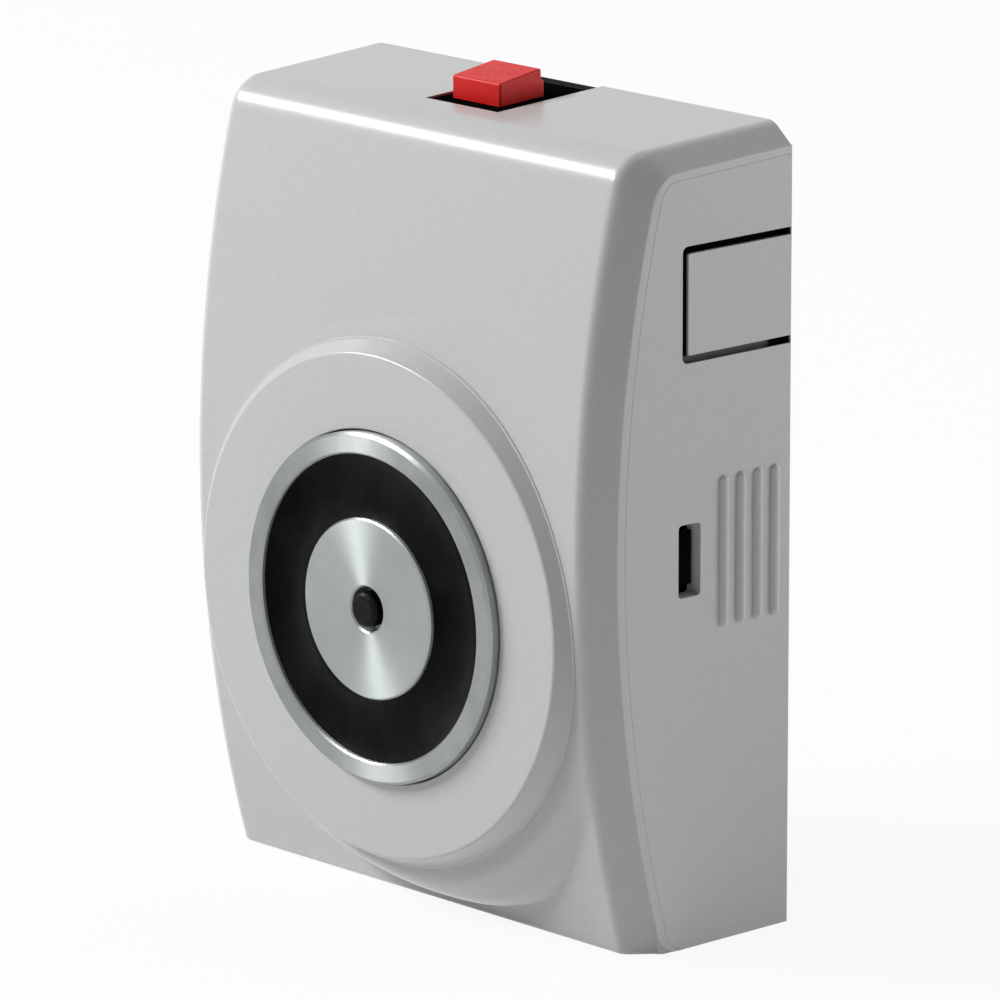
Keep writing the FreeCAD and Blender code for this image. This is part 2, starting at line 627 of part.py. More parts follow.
def spring_plug():
    """Headed plug that closes the core's spring chamber behind the pot's floor."""
    radius = PIN_CHAMBER_RADIUS - PLUG_FIT
    plug = turned([(0, POT_BACK - PLUG_HEAD_LENGTH), (PLUG_HEAD_RADIUS, POT_BACK - PLUG_HEAD_LENGTH),
                   (PLUG_HEAD_RADIUS, POT_BACK), (radius, POT_BACK), (radius, POT_BACK + PLUG_LENGTH),
                   (0, POT_BACK + PLUG_LENGTH)])
    slot = box(-PLUG_HEAD_RADIUS, PLUG_HEAD_RADIUS, 0, POT_BACK - PLUG_HEAD_LENGTH / 2,
               -PLUG_SLOT_WIDTH / 2, PLUG_SLOT_WIDTH / 2)
    return plug.cut(slot)


def magnet_screw(x, z):
    head = MAGNET_SCREW_HEAD_LENGTH + SCREW_CLEAR
    screw = rod(MAGNET_SCREW_HEAD, SCREW_CLEAR, head, x, z)
    screw = screw.fuse(rod(MAGNET_SCREW_RADIUS, head - 0.5, POT_BACK + MAGNET_SCREW_GRIP, x, z))
    socket = rod(SOCKET_RADIUS, 0, SCREW_CLEAR + SOCKET_DEPTH, x, z)
    return screw.cut(socket).removeSplitter()


def coil_lead(x):
    """Insulated lead from the bobbin, out through the pot's floor and up to the circuit board."""
    bend = LEAD_BEND
    pad_z = (BOARD_BOTTOM + TERMINAL_Z) / 2
    run = LEAD_RUN_DEPTH
    k = bend * (1 - math.sqrt(0.5))
    path = Part.Wire([
        Part.makeLine(V(x, -FLOOR_DEPTH, LEAD_HEIGHT), V(x, -run - bend, LEAD_HEIGHT)),
        Part.Arc(V(x, -run - bend, LEAD_HEIGHT), V(x, -run - k, LEAD_HEIGHT + k),
                 V(x, -run, LEAD_HEIGHT + bend)).toShape(),
        Part.makeLine(V(x, -run, LEAD_HEIGHT + bend), V(x, -run, pad_z - bend)),
        Part.Arc(V(x, -run, pad_z - bend), V(x, -run - k, pad_z - k), V(x, -run - bend, pad_z)).toShape(),
        Part.makeLine(V(x, -run - bend, pad_z), V(x, -BOARD_DEPTH, pad_z)),
    ])
    ring = Part.Wire(Part.makeCircle(LEAD_RADIUS, V(x, -FLOOR_DEPTH, LEAD_HEIGHT), V(0, 1, 0)))
    return path.makePipeShell([ring], True, False)


def sloped_block(half, depth0, depth1, bottom):
    """Block under the cover's top whose own top follows the cover's slope, a little sunk."""
    corners = [V(0, -depth0, bottom), V(0, -depth1, bottom), V(0, -depth1, top_at(depth1) - SWITCH_SUNK),
               V(0, -depth0, top_at(depth0) - SWITCH_SUNK)]
    face = Part.Face(Part.makePolygon(corners + corners[:1]))
    return face.extrude(V(2 * half, 0, 0)).translated(V(SWITCH_X - half, 0, 0))


def switch_housing():
    half = NOTCH_WIDTH / 2 - NOTCH_GAP
    front = NOTCH_DEPTH - NOTCH_GAP
    block = sloped_block(half, PLATE_THICK, front, SWITCH_BOTTOM)
    well_half = BUTTON_WIDTH / 2 + BUTTON_FIT
    well_reach = BUTTON_LENGTH / 2 + BUTTON_FIT
    well = box(BUTTON_X - well_half, BUTTON_X + well_half, BUTTON_DEPTH - well_reach, BUTTON_DEPTH + well_reach,
               SWITCH_DECK_TOP, REACH * 2)
    room = box(SWITCH_X - half + SWITCH_WALL, SWITCH_X + half - SWITCH_WALL, PLATE_THICK + SWITCH_WALL,
               front - SWITCH_WALL, 0, SWITCH_DECK_TOP - SWITCH_DECK)
    guide = post(STEM_RADIUS + STEM_FIT, 0, REACH * 2, BUTTON_X, BUTTON_DEPTH)
    return block.cut([well, room, guide])


def switch_base():
    half = NOTCH_WIDTH / 2 - NOTCH_GAP - SWITCH_WALL - SCREW_FIT
    lid = box(SWITCH_X - half, SWITCH_X + half, PLATE_THICK + SWITCH_WALL + SCREW_FIT,
              NOTCH_DEPTH - NOTCH_GAP - SWITCH_WALL - SCREW_FIT, SWITCH_BOTTOM, SWITCH_BOTTOM + SWITCH_BASE_THICK)
    return lid


def button_bottom():
    return COVER_TOP + BUTTON_PROUD - BUTTON_HEIGHT


def button_cap():
    half, reach = BUTTON_WIDTH / 2, BUTTON_LENGTH / 2
    head, back = COVER_TOP + BUTTON_PROUD, BUTTON_DEPTH - reach
    cap = box(BUTTON_X - half, BUTTON_X + half, back, BUTTON_DEPTH + reach, button_bottom(), head)
    keep = [e for e in cap.Edges if not all_points(e, lambda p: abs(p.z - button_bottom()) < 0.01)]
    step = box(-REACH, REACH, 0, back + BUTTON_STEP, head - BUTTON_STEP_HEIGHT, 2 * REACH)
    return cap.makeFillet(BUTTON_EDGE, keep).cut(step)


def button_stem():
    stem = post(STEM_RADIUS, CONTACT_TOP, button_bottom(), BUTTON_X, BUTTON_DEPTH)
    return stem.fuse(post(STEM_TAIL_RADIUS, STEM_BOTTOM, CONTACT_TOP, BUTTON_X, BUTTON_DEPTH)).removeSplitter()


def moving_contact():
    bar = box(BUTTON_X - CONTACT_LENGTH / 2, BUTTON_X + CONTACT_LENGTH / 2, BUTTON_DEPTH - CONTACT_WIDTH / 2,
              BUTTON_DEPTH + CONTACT_WIDTH / 2, CONTACT_TOP - CONTACT_THICK, CONTACT_TOP)
    return bar.cut(post(STEM_TAIL_RADIUS + STEM_FIT, 0, REACH * 2, BUTTON_X, BUTTON_DEPTH))


def fixed_contact(side):
    """Contact strip under the switch's deck that the moving contact meets from below."""
    ceiling = SWITCH_DECK_TOP - SWITCH_DECK
    inner = STEM_RADIUS + 2 * BUTTON_FIT
    x0, x1 = sorted((BUTTON_X + side * inner, BUTTON_X + side * (inner + FIXED_CONTACT_LENGTH)))
    return box(x0, x1, BUTTON_DEPTH - CONTACT_WIDTH / 2, BUTTON_DEPTH + CONTACT_WIDTH / 2,
               ceiling - CONTACT_THICK, ceiling)


def button_spring():
    spring = coil_spring(BUTTON_SPRING_RADIUS, button_bottom() - SWITCH_DECK_TOP, BUTTON_SPRING_TURNS)
    return spring.translated(V(BUTTON_X, -BUTTON_DEPTH, SWITCH_DECK_TOP))


def circuit_board():
    board = box(-BOARD_WIDTH / 2, BOARD_WIDTH / 2, BOARD_DEPTH, BOARD_DEPTH + BOARD_THICK, BOARD_BOTTOM, BOARD_TOP)
    board = board.makeFillet(BOARD_CORNER, [e for e in board.Edges if abs(e.Length - BOARD_THICK) < 0.01])
    holes = [rod(BOARD_SCREW_RADIUS + SCREW_CLEAR, 0, REACH, sx * POST_X, POST_Z) for sx in (-1, 1)]
    return board.cut(holes)


def board_screw(x):
    face = BOARD_DEPTH + BOARD_THICK
    screw = rod(BOARD_SCREW_RADIUS, face - BOARD_SCREW_LENGTH, face + 0.5, x, POST_Z)
    screw = screw.fuse(rod(BOARD_SCREW_HEAD, face, face + BOARD_SCREW_HEAD_LENGTH, x, POST_Z))
    slot = box(x - BOARD_SCREW_HEAD, x + BOARD_SCREW_HEAD, face + BOARD_SCREW_HEAD_LENGTH / 2, REACH,
               POST_Z - SCREW_SLOT_WIDTH / 2, POST_Z + SCREW_SLOT_WIDTH / 2)
    return screw.cut(slot).removeSplitter()


def terminal_places():
    return [TERMINAL_X + (i - (TERMINAL_WAYS - 1) / 2) * TERMINAL_PITCH for i in range(TERMINAL_WAYS)]


def terminal_block():
    face = BOARD_DEPTH + BOARD_THICK
    half = TERMINAL_WAYS * TERMINAL_PITCH / 2
    block = box(TERMINAL_X - half, TERMINAL_X + half, face, face + TERMINAL_TALL, TERMINAL_Z - TERMINAL_HEIGHT / 2,
                TERMINAL_Z + TERMINAL_HEIGHT / 2)
    cuts = []
    for x in terminal_places():
        cuts.append(rod(TERMINAL_SCREW_RADIUS + SCREW_CLEAR, face + TERMINAL_TALL / 2, REACH, x, TERMINAL_Z))
        entry = face + TERMINAL_ENTRY_RISE
        cuts.append(box(x - TERMINAL_ENTRY / 2, x + TERMINAL_ENTRY / 2, entry, entry + TERMINAL_ENTRY, TERMINAL_Z,
                        REACH))
    return block.cut(cuts)


def terminal_screw(x):
    foot = BOARD_DEPTH + BOARD_THICK + TERMINAL_TALL / 2
    head = foot + TERMINAL_TALL / 2 - TERMINAL_SCREW_SUNK
    screw = rod(TERMINAL_SCREW_RADIUS, foot, head, x, TERMINAL_Z)
    slot = box(x - TERMINAL_SCREW_RADIUS, x + TERMINAL_SCREW_RADIUS, head - TERMINAL_SLOT_DEPTH, REACH,
               TERMINAL_Z - SCREW_SLOT_WIDTH / 2, TERMINAL_Z + SCREW_SLOT_WIDTH / 2)
    return screw.cut(slot)


def suppressor_diode():
    """Diode across the coil, standing on its two wires."""
    face = BOARD_DEPTH + BOARD_THICK
    axis_depth = face + DIODE_RADIUS
    bar = Part.makeCylinder(DIODE_RADIUS, DIODE_LENGTH, V(DIODE_X - DIODE_LENGTH / 2, -axis_depth, DIODE_Z), V(1, 0, 0))
    wire = Part.makeCylinder(DIODE_WIRE, DIODE_SPAN, V(DIODE_X - DIODE_SPAN / 2, -axis_depth, DIODE_Z), V(1, 0, 0))
    legs = [rod(DIODE_WIRE, face, axis_depth, DIODE_X + s * (DIODE_SPAN / 2 - DIODE_WIRE), DIODE_Z) for s in (-1, 1)]
    return bar.fuse([wire] + legs).removeSplitter()


PARTS = {
    "base_plate": base_plate,
    "magnet_pot": magnet_pot,
    "magnet_core": magnet_core,
    "coil_bobbin": coil_bobbin,
    "coil_winding": coil_winding,
    "potting_ring": potting_ring,
    "release_pin": release_pin,
    "release_spring": release_spring,
    "spring_plug": spring_plug,
    "coil_lead_left": lambda: coil_lead(lead_places()[0]),
    "coil_lead_right": lambda: coil_lead(lead_places()[1]),
    "switch_housing": switch_housing,
    "switch_base": switch_base,
    "button_cap": button_cap,
    "button_stem": button_stem,
    "moving_contact": moving_contact,
    "fixed_contact_left": lambda: fixed_contact(-1),
    "fixed_contact_right": lambda: fixed_contact(1),
    "button_spring": button_spring,
    "circuit_board": circuit_board,
    "board_screw_left": lambda: board_screw(-POST_X),
    "board_screw_right": lambda: board_screw(POST_X),
    "terminal_block": terminal_block,
    "suppressor_diode": suppressor_diode,
    "cover": cover,
}
for number, place in enumerate(magnet_screw_places(), 1):
    PARTS["magnet_screw_%d" % number] = lambda place=place: magnet_screw(*place)
for number, place in enumerate(terminal_places(), 1):
    PARTS["terminal_screw_%d" % number] = lambda place=place: terminal_screw(place)

os.makedirs("parts", exist_ok=True)
for name, make in PARTS.items():
    make().exportStep("parts/%s.step" % name)
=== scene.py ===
import math

import bmesh
import bpy
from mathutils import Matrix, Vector


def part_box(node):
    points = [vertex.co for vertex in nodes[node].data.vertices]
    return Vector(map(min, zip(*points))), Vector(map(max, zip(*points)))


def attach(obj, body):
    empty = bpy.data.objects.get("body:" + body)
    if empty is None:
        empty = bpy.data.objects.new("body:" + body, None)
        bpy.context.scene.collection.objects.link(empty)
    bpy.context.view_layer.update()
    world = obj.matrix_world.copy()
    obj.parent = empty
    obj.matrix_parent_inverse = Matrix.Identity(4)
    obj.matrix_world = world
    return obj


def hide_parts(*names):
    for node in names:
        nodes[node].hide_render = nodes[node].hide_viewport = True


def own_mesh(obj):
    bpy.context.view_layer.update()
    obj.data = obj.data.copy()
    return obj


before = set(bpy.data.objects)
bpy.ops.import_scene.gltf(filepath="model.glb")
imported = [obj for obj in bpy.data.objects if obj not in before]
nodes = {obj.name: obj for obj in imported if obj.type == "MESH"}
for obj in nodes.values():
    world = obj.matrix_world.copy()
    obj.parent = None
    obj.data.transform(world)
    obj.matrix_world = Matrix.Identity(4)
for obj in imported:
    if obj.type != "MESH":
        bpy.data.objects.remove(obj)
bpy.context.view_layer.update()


# Wall plate: one black moulding that is screwed to the wall and carries everything else.
# Its latch tongues snap into the slots in the cover's sides.
def grey(value):
    return (value, value, value, 1.0)


def new_material(name):
    """Material with its node tree and its Principled shader."""
    material = bpy.data.materials.new(name)
    material.use_nodes = True
    tree = material.node_tree
    return material, tree, tree.nodes["Principled BSDF"]


def surface_noise_group():
    """Two noises in the part's own space: a fine one for height and gloss, a slow one for colour."""
    tree = bpy.data.node_groups.new("surface_noise", "ShaderNodeTree")
    for name in ("Fine Scale", "Slow Scale"):
        tree.interface.new_socket(name, in_out="INPUT", socket_type="NodeSocketFloat")
    for name in ("Fine", "Slow"):
        tree.interface.new_socket(name, in_out="OUTPUT", socket_type="NodeSocketFloat")
    start = tree.nodes.new("NodeGroupInput")
    end = tree.nodes.new("NodeGroupOutput")
    place = tree.nodes.new("ShaderNodeTexCoord")
    for name, detail in (("Fine", 3.0), ("Slow", 4.0)):
        noise = tree.nodes.new("ShaderNodeTexNoise")
        noise.inputs["Detail"].default_value = detail
        noise.inputs["Roughness"].default_value = 0.6
        tree.links.new(place.outputs["Object"], noise.inputs["Vector"])
        tree.links.new(start.outputs[name + " Scale"], noise.inputs["Scale"])
        tree.links.new(noise.outputs["Fac"], end.inputs[name])
    return tree


SURFACE_NOISE = surface_noise_group()


def add_surface_noise(tree, fine, slow):
    noise = tree.nodes.new("ShaderNodeGroup")
    noise.node_tree = SURFACE_NOISE
    noise.inputs["Fine Scale"].default_value = fine
    noise.inputs["Slow Scale"].default_value = slow
    return noise.outputs["Fine"], noise.outputs["Slow"]


def ramp(tree, source, low, high, stops=(0.32, 0.68)):
    """Colour between low and high over the stretch of a value that a noise fills."""
    node = tree.nodes.new("ShaderNodeValToRGB")
    first, last = node.color_ramp.elements
    first.position, last.position = stops
    first.color = low
    last.color = high
    tree.links.new(source, node.inputs["Fac"])
    return node.outputs["Color"]


def add_bump(tree, shader, height, distance):
    bump = tree.nodes.new("ShaderNodeBump")
    bump.inputs["Distance"].default_value = distance
    tree.links.new(height, bump.inputs["Height"])
    tree.links.new(bump.outputs["Normal"], shader.inputs["Normal"])


def moulded_plastic(name, dark, light, rough, fine, height, slow=70.0, shine=0.5):
    """Moulded plastic: two close shades in a slow mottle, and a fine grain in height and gloss."""
    material, tree, shader = new_material(name)
    shader.inputs["Specular IOR Level"].default_value = shine
    grain, mottle = add_surface_noise(tree, fine, slow)
    tree.links.new(ramp(tree, mottle, dark, light), shader.inputs["Base Color"])
    tree.links.new(ramp(tree, grain, grey(rough[0]), grey(rough[1])), shader.inputs["Roughness"])
    add_bump(tree, shader, grain, height)
    return material


def dress(material, *names):
    """Give CAD nodes their finish."""
    for name in names:
        node = nodes[name]
        node.data.materials.clear()
        node.data.materials.append(material)


plate_black = moulded_plastic("plate_black", grey(0.002), grey(0.004), (0.42, 0.58), 1500.0, 0.00003,
                              shine=0.01)
dress(plate_black, "base_plate")


# Magnet pot, core, plug and screws: zinc plated steel. The pot's rim and the core's face are the poles.
# Both were turned, so the core's face shows a bow tie of light.
def zinc_plate(name, dark, light, rough, streak):
    """Zinc plating over ground steel: cloudy blue-grey patches and faint drawn streaks."""
    material, tree, shader = new_material(name)
    fine, cloud = add_surface_noise(tree, 900.0, 160.0)
    tree.links.new(ramp(tree, cloud, dark, light), shader.inputs["Base Color"])
    place = tree.nodes.new("ShaderNodeTexCoord")
    stretch = tree.nodes.new("ShaderNodeMapping")
    stretch.inputs["Scale"].default_value = streak
    lines = tree.nodes.new("ShaderNodeTexNoise")
    lines.inputs["Scale"].default_value = 1.0
    lines.inputs["Detail"].default_value = 5.0
    tree.links.new(place.outputs["Object"], stretch.inputs["Vector"])
    tree.links.new(stretch.outputs["Vector"], lines.inputs["Vector"])
    gloss = ramp(tree, lines.outputs["Fac"], grey(rough[0]), grey(rough[1]))
    tree.links.new(gloss, shader.inputs["Roughness"])
    add_bump(tree, shader, fine, 0.000006)
    shader.inputs["Metallic"].default_value = 1.0
    return material, tree, shader


def turned(tree, shader, strength, rotation):
    """Fine turning marks round the magnet's axis, as stretched highlights."""
    shader.inputs["Anisotropic"].default_value = strength
    shader.inputs["Anisotropic Rotation"].default_value = rotation
    turning = tree.nodes.new("ShaderNodeTangent")
    turning.direction_type = "RADIAL"
    turning.axis = "Y"
    tree.links.new(turning.outputs["Tangent"], shader.inputs["Tangent"])


pot_zinc, pot_tree, pot_shader = zinc_plate("pot_zinc", (0.33, 0.345, 0.35, 1), (0.40, 0.415, 0.42, 1),
                                            (0.38, 0.44), (260, 260, 60))
turned(pot_tree, pot_shader, 0.9, 0.22)
dress(pot_zinc, "magnet_pot")
screw_zinc, _, _ = zinc_plate("screw_zinc", (0.36, 0.38, 0.40, 1), (0.46, 0.48, 0.49, 1), (0.20, 0.32),
                              (260, 260, 60))
dress(screw_zinc, "spring_plug", "magnet_screw_1", "magnet_screw_2", "magnet_screw_3")
core_zinc, core_tree, core_shader = zinc_plate("core_zinc", (0.41, 0.445, 0.44, 1), (0.44, 0.475, 0.47, 1),
                                               (0.42, 0.46), (300, 300, 300))
turned(core_tree, core_shader, 0.85, 0.20)
dress(core_zinc, "magnet_core")


# Coil: enamelled copper wire on a nylon bobbin, with two insulated leads.
# Black casting resin closes it at the front, between the two poles.
nylon = moulded_plastic("natural_nylon", (0.62, 0.60, 0.52, 1), (0.68, 0.66, 0.58, 1), (0.4, 0.5), 800.0,
                        0.00002)
dress(nylon, "coil_bobbin", "button_stem")
copper, copper_tree, copper_shader = new_material("enamelled_copper")
wire_turns = copper_tree.nodes.new("ShaderNodeTexWave")
wire_turns.bands_direction = "Y"
wire_turns.inputs["Scale"].default_value = 800.0
wire_place = copper_tree.nodes.new("ShaderNodeTexCoord")
copper_tree.links.new(wire_place.outputs["Object"], wire_turns.inputs["Vector"])
wire_colour = ramp(copper_tree, wire_turns.outputs["Fac"], (0.28, 0.08, 0.03, 1), (0.62, 0.24, 0.10, 1))
copper_tree.links.new(wire_colour, copper_shader.inputs["Base Color"])
add_bump(copper_tree, copper_shader, wire_turns.outputs["Fac"], 0.00008)
copper_shader.inputs["Metallic"].default_value = 0.9
copper_shader.inputs["Roughness"].default_value = 0.3
dress(copper, "coil_winding")
red_lead = moulded_plastic("red_lead", (0.42, 0.02, 0.02, 1), (0.5, 0.03, 0.03, 1), (0.35, 0.45), 900.0,
                           0.00001)
black_lead = moulded_plastic("black_lead", grey(0.015), grey(0.025), (0.35, 0.45), 900.0, 0.00001)
dress(red_lead, "coil_lead_left")
dress(black_lead, "coil_lead_right")
resin = moulded_plastic("casting_resin", grey(0.001), grey(0.010), (0.24, 0.34), 420.0, 0.00006, slow=90.0,
                        shine=0.04)
dress(resin, "potting_ring")


# Release pin and its spring: a black pin that pushes the armature off the poles.
# The spring is a coil of wire, built at its rest length.
rubber = moulded_plastic("black_rubber", grey(0.001), grey(0.004), (0.30, 0.50), 1300.0, 0.00012, slow=500.0,
                         shine=0.12)
dress(rubber, "release_pin")
spring_wire, _, _ = zinc_plate("spring_wire", grey(0.40), grey(0.52), (0.22, 0.34), (80, 80, 900))
MM = 0.001
SPRING_WIRE = 0.35
SPRING_END_EASE = 0.8
WIRE_SIDES = 10
COIL_STEPS = 40


def closed_skin(work, loops):
    """Solid between loops of vertices that follow each other, with flat ends."""
    for before, after in zip(loops, loops[1:]):
        for i in range(len(before)):
            j = (i + 1) % len(before)
            work.faces.new((before[i], before[j], after[j], after[i]))
    work.faces.new(loops[0])
    work.faces.new(loops[-1])
    bmesh.ops.recalc_face_normals(work, faces=work.faces)


def finished_object(name, work):
    """Object from a bmesh."""
    mesh = bpy.data.meshes.new(name)
    work.to_mesh(mesh)
    work.free()
    piece = bpy.data.objects.new(name, mesh)
    bpy.context.scene.collection.objects.link(piece)
    return piece


def shade_smooth(piece):
    piece.data.polygons.foreach_set("use_smooth", [True] * len(piece.data.polygons))


def coil_spring(name, node, along, turns, anchored_high):
    """Coil spring in the place of its CAD node."""
    low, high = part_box(node)
    first, second = [i for i in range(3) if i != along]
    wire = SPRING_WIRE * MM
    radius = (high[first] - low[first]) / 2 - wire
    length = high[along] - low[along] - 2 * wire
    work = bmesh.new()
    rings = []
    count = round(turns * COIL_STEPS)
    for step in range(count + 1):
        share = step / count
        angle = 2 * math.pi * turns * share
        ring = []
        for side_step in range(WIRE_SIDES):
            turn = 2 * math.pi * side_step / WIRE_SIDES
            out = radius + wire * math.cos(turn)
            place = (low + high) / 2
            place[first] += out * math.cos(angle)
            place[second] += out * math.sin(angle)
            climb = share - SPRING_END_EASE * math.sin(2 * math.pi * share) / (2 * math.pi)
            place[along] = low[along] + wire + length * climb + wire * math.sin(turn)
            ring.append(work.verts.new(place))
        rings.append(ring)
    closed_skin(work, rings)
    spring = finished_object(name, work)
    shade_smooth(spring)
    spring.data.materials.append(spring_wire)
    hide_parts(node)
    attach(spring, "housing")
    axis = Vector((0, 0, 0))
    axis[along] = 1.0
    anchor = (low + high) / 2
    anchor[along] = high[along] if anchored_high else low[along]
    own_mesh(spring)


PIN_TURNS = 4.5
coil_spring("release_coil", "release_spring", 1, PIN_TURNS, True)


# Switch: a black body that fills the notch in the cover's top, with brass contacts inside
# and the red push button on its stem.
switch_black = moulded_plastic("switch_black", grey(0.002), grey(0.004), (0.30, 0.44), 1100.0, 0.00003,
                               shine=0.0)
dress(switch_black, "switch_housing", "switch_base")
brass, _, _ = zinc_plate("contact_brass", (0.60, 0.42, 0.16, 1), (0.74, 0.55, 0.24, 1), (0.25, 0.36),
                         (500, 90, 500))
dress(brass, "moving_contact", "fixed_contact_left", "fixed_contact_right")
button_red = moulded_plastic("button_red", (0.70, 0.012, 0.012, 1), (0.80, 0.020, 0.018, 1), (0.34, 0.48),
                             900.0, 0.00003, slow=260.0, shine=0.22)
BUTTON_TURNS = 2.5
coil_spring("button_coil", "button_spring", 2, BUTTON_TURNS, False)

# the button's top rises towards the wall, with a step along its back edge
BUTTON_FRONT_FALL = 0.80
BUTTON_BACK_RISE = 0.35
BUTTON_STEP = 0.55
BUTTON_STEP_FALL = 1.3
BUTTON_ROUND = 0.35
BUTTON_ROUND_STEPS = 3
BUTTON_SHARP = math.radians(50)
cap_low, cap_high = (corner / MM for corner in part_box("button_cap"))
cap_back = -cap_high.y
cap_front = -cap_low.y
cap_ledge = cap_high.z - BUTTON_STEP_FALL
cap_profile = [(cap_back, cap_low.z), (cap_front, cap_low.z), (cap_front, cap_high.z - BUTTON_FRONT_FALL),
               (cap_back + BUTTON_STEP, cap_high.z + BUTTON_BACK_RISE), (cap_back + BUTTON_STEP, cap_ledge),
               (cap_back, cap_ledge)]
cap_mesh = bmesh.new()
cap_sides = []
for x in (cap_low.x, cap_high.x):
    cap_sides.append([cap_mesh.verts.new(Vector((x, -depth, z)) * MM) for depth, z in cap_profile])
closed_skin(cap_mesh, cap_sides)
cap_foot = (cap_low.z + BUTTON_ROUND) * MM
cap_edges = [e for e in cap_mesh.edges if max(v.co.z for v in e.verts) > cap_foot]
bmesh.ops.bevel(cap_mesh, geom=cap_edges, offset=BUTTON_ROUND * MM, segments=BUTTON_ROUND_STEPS, profile=0.5,
                affect="EDGES")
button = finished_object("push_button", cap_mesh)
shade_smooth(button)
button.data.set_sharp_from_angle(angle=BUTTON_SHARP)
button_normals = button.modifiers.new("weighted_normals", "WEIGHTED_NORMAL")
button_normals.keep_sharp = True
button.data.materials.append(button_red)
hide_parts("button_cap")
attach(button, "button")


# Circuit board: green laminate that carries a grey terminal block and a suppressor diode.
# Zinc plated screws hold the board and clamp the wires.
board_green = moulded_plastic("board_green", (0.012, 0.09, 0.035, 1), (0.018, 0.12, 0.05, 1), (0.25, 0.35),
                              1200.0, 0.00001, slow=300.0)
dress(board_green, "circuit_board")
terminal_grey = moulded_plastic("terminal_grey", grey(0.2), grey(0.25), (0.4, 0.5), 1000.0, 0.00002)
dress(terminal_grey, "terminal_block")
diode_black = moulded_plastic("diode_black", grey(0.012), grey(0.02), (0.3, 0.4), 1000.0, 0.00002)
dress(diode_black, "suppressor_diode")
dress(screw_zinc, "board_screw_left", "board_screw_right", "terminal_screw_1", "terminal_screw_2")


# Cover: a pale grey moulded shell with an arched front, bevelled sides and a round boss for the magnet.
# It snaps over the wall plate. Lengths are in millimetres, and depths run from the wall into the room.
cover_low, cover_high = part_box("cover")
TOP = cover_high.z / MM
BOTTOM = cover_low.z / MM
BOSS_DEPTH = -cover_low.y / MM
HALF_WIDTH = 43.05
FRONT_DEPTH = 36.2
FRONT_RADIUS = 196.0
TOP_ROUND = 6.0
FOOT_ROUND = 1.0
SIDE_LEAN = math.tan(math.radians(2.0))
TOP_FALL = math.tan(math.radians(2.6))
BEVEL = 3.7
BEVEL_WIDTH = 3.1
BEVEL_BLEND = 1.1
ARCH_MID = (TOP + BOTTOM) / 2
ARCH_AXIS = FRONT_RADIUS - FRONT_DEPTH


def arch(z, inset=0.0):
    """Depth of the arched front at a height, moved in by an inset."""
    return math.sqrt((FRONT_RADIUS - inset) ** 2 - (z - ARCH_MID) ** 2) - ARCH_AXIS


def side(depth):
    """Half width between the leaning sides at a depth."""
    return HALF_WIDTH - depth * SIDE_LEAN


def rounded(drop):
    """Drop of the bevel with a soft crest: nothing before it, the plain drop after it."""
    if drop <= -BEVEL_BLEND:
        return 0.0
    if drop >= BEVEL_BLEND:
        return drop
    return (drop + BEVEL_BLEND) ** 2 / (4 * BEVEL_BLEND)


CENTRE_ROUNDS = 20


def corner_centre(corner):
    """Depth and height of the centre of the round between top and front."""
    depth = FRONT_DEPTH - corner
    for _ in range(CENTRE_ROUNDS):
        z = TOP - depth * TOP_FALL - corner * math.hypot(1, TOP_FALL)
        depth = math.sqrt((FRONT_RADIUS - corner) ** 2 - (z - ARCH_MID) ** 2) - ARCH_AXIS
    return depth, z


PANEL_CORNER = 9.0


def corner_round(drop):
    """Round between top and front, which grows from the crest to the end of the bevel."""
    return TOP_ROUND + (PANEL_CORNER - TOP_ROUND) * drop / BEVEL


SPLIT = 50.0
ARCH_ROWS = 16
CORNER_ROWS = 16
TOP_ROWS = 22


def outline(row, inset, corner):
    """Depth and height of the side outline above SPLIT: up the arch, round the corner, back to the wall."""
    mid_depth, mid_z = corner_centre(corner)
    start = math.asin((SPLIT - ARCH_MID) / (FRONT_RADIUS - inset))
    tangent = math.atan2(mid_z - ARCH_MID, mid_depth + ARCH_AXIS)
    upright = math.pi / 2 - math.atan(TOP_FALL)
    if row <= ARCH_ROWS:
        angle = start + (tangent - start) * row / ARCH_ROWS
        radius = FRONT_RADIUS - inset
        return radius * math.cos(angle) - ARCH_AXIS, ARCH_MID + radius * math.sin(angle)
    row -= ARCH_ROWS
    if row <= CORNER_ROWS:
        angle = tangent + (upright - tangent) * row / CORNER_ROWS
        radius = corner - inset
        return mid_depth + radius * math.cos(angle), mid_z + radius * math.sin(angle)
    depth = (mid_depth + (corner - inset) * math.cos(upright)) * (1 - (row - CORNER_ROWS) / TOP_ROWS)
    return depth, TOP - depth * TOP_FALL - inset * math.hypot(1, TOP_FALL)


LAST_ROW = ARCH_ROWS + CORNER_ROWS + TOP_ROWS
TOP_BEVEL_SHARE = 0.75


def shell_line(row, inset, corner):
    """Side outline of the shell, whose bevel gets narrower as it turns over the top."""
    turn = min(max((row - ARCH_ROWS) / CORNER_ROWS, 0.0), 1.0)
    share = 1 + (TOP_BEVEL_SHARE - 1) * turn ** 2 * (3 - 2 * turn)
    return outline(row, inset * share, corner)


def crest(edge):
    """Half width at which the bevel starts, from the half width at which it ends."""
    return edge - BEVEL_WIDTH * (1 + SIDE_LEAN)


def bevel_drop(x, edge, rise=0.0):
    """Depth that the bevel takes off a front which a rise has lifted."""
    past = (abs(x) - crest(edge)) / (1 + SIDE_LEAN)
    return rounded(past * BEVEL / BEVEL_WIDTH + rise) - rise


